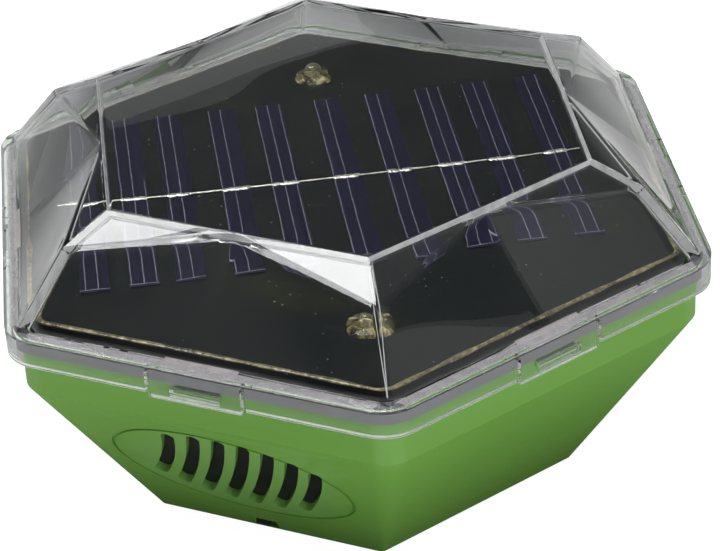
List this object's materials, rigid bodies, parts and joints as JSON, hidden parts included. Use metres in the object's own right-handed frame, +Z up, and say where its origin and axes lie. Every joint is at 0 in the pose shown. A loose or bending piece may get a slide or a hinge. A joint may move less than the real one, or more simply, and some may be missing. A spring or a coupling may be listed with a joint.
{
  "type": "solar attic fan",
  "caption": "Small six-sided solar ventilator: faceted clear lid over a black solar panel, tapered green housing with slotted vents, motor fan and floor intake.",
  "frame": {"origin": "centre of the plane that the rubber feet stand on", "axes": "+Z up; one corner of the hexagon points along -Y; the front vented side faces -X -Y"},
  "size_m": [0.1732, 0.1966, 0.0951],
  "materials": {
    "clear_shell": "clear glossy moulded plastic",
    "grey_seal": "matt soft rubber",
    "black_epoxy": "glossy clear-coated black laminate",
    "cell_blue": "dark blue silicon under a clear coat",
    "tinned_wire": "tinned copper, soldered",
    "amber_adhesive": "aged clear adhesive",
    "clear_lens": "clear water-white lens",
    "clear_glue": "clear hot glue",
    "black_plastic": "fine-textured moulded plastic",
    "screw_steel": "zinc-plated",
    "green_plastic": "satin moulded plastic",
    "black_rubber": "matt",
    "screen_wire": "dark woven wire",
    "motor_steel": "plated steel",
    "white_nylon": "natural nylon",
    "bronze": "sintered bronze and brass",
    "ferrite": "matt dark ferrite",
    "iron_core": "lacquered laminations",
    "copper_wire": "enamelled copper",
    "fan_plastic": "dark grey moulded plastic",
    "board_laminate": "solder-masked laminate",
    "capacitor_can": "drawn can",
    "battery_wrap": "plain shrink sleeve",
    "contact_nickel": "nickel plated",
    "wire_cover": "flexible wire cover"
  },
  "bodies": {
    "housing": {"base_housing": "green_plastic", "lid_gasket": "grey_seal", "solar_board": "black_epoxy", "solar_cells": "cell_blue", "bus_wire": "tinned_wire", "panel_bead": "amber_adhesive", "status_led_front": "clear_lens", "status_led_rear": "clear_lens", "led_glue": "clear_glue", "panel_deck": "black_plastic", "deck_screws": "screw_steel", "rubber_feet": "black_rubber", "vent_screen_front": "screen_wire", "vent_screen_rear": "screen_wire", "screen_frame_front": "black_plastic", "screen_frame_rear": "black_plastic", "intake_guard": "black_plastic", "guard_screws": "screw_steel", "fan_duct": "black_plastic", "motor_screws": "screw_steel", "motor_can": "motor_steel", "motor_end_cap": "white_nylon", "motor_bushes": "bronze", "motor_magnets": "ferrite", "motor_terminals": "bronze", "control_board": "board_laminate", "board_screws": "screw_steel", "board_chips": "black_plastic", "board_coil": "ferrite", "board_capacitors": "capacitor_can", "wire_plugs": "white_nylon", "battery_holder": "black_plastic", "battery_cells": "battery_wrap", "battery_contacts": "contact_nickel", "holder_screws": "screw_steel", "switch_body": "motor_steel", "panel_leads": "wire_cover", "motor_leads": "wire_cover", "battery_leads": "wire_cover", "led_leads": "wire_cover", "switch_leads": "wire_cover"},
    "lid": {"lid": "clear_shell"},
    "fan": {"motor_shaft": "motor_steel", "motor_core": "iron_core", "motor_windings": "copper_wire", "motor_commutator": "copper_wire", "impeller": "fan_plastic"},
    "switch": {"switch_knob": "black_plastic"}
  },
  "joints": [
    {"name": "fan_spin", "type": "hinge", "parent": "housing", "child": "fan", "pos_m": [0, 0, 0.02], "axis": [0, 0, 1], "continuous": true},
    {"name": "lid_lift", "type": "slide", "parent": "housing", "child": "lid", "axis": [0, 0, 1], "range_m": [0, 0.04]},
    {"name": "power_slide", "type": "slide", "parent": "housing", "child": "switch", "axis": [0.866, -0.5, 0], "range_m": [0, 0.0026]}
  ]
}
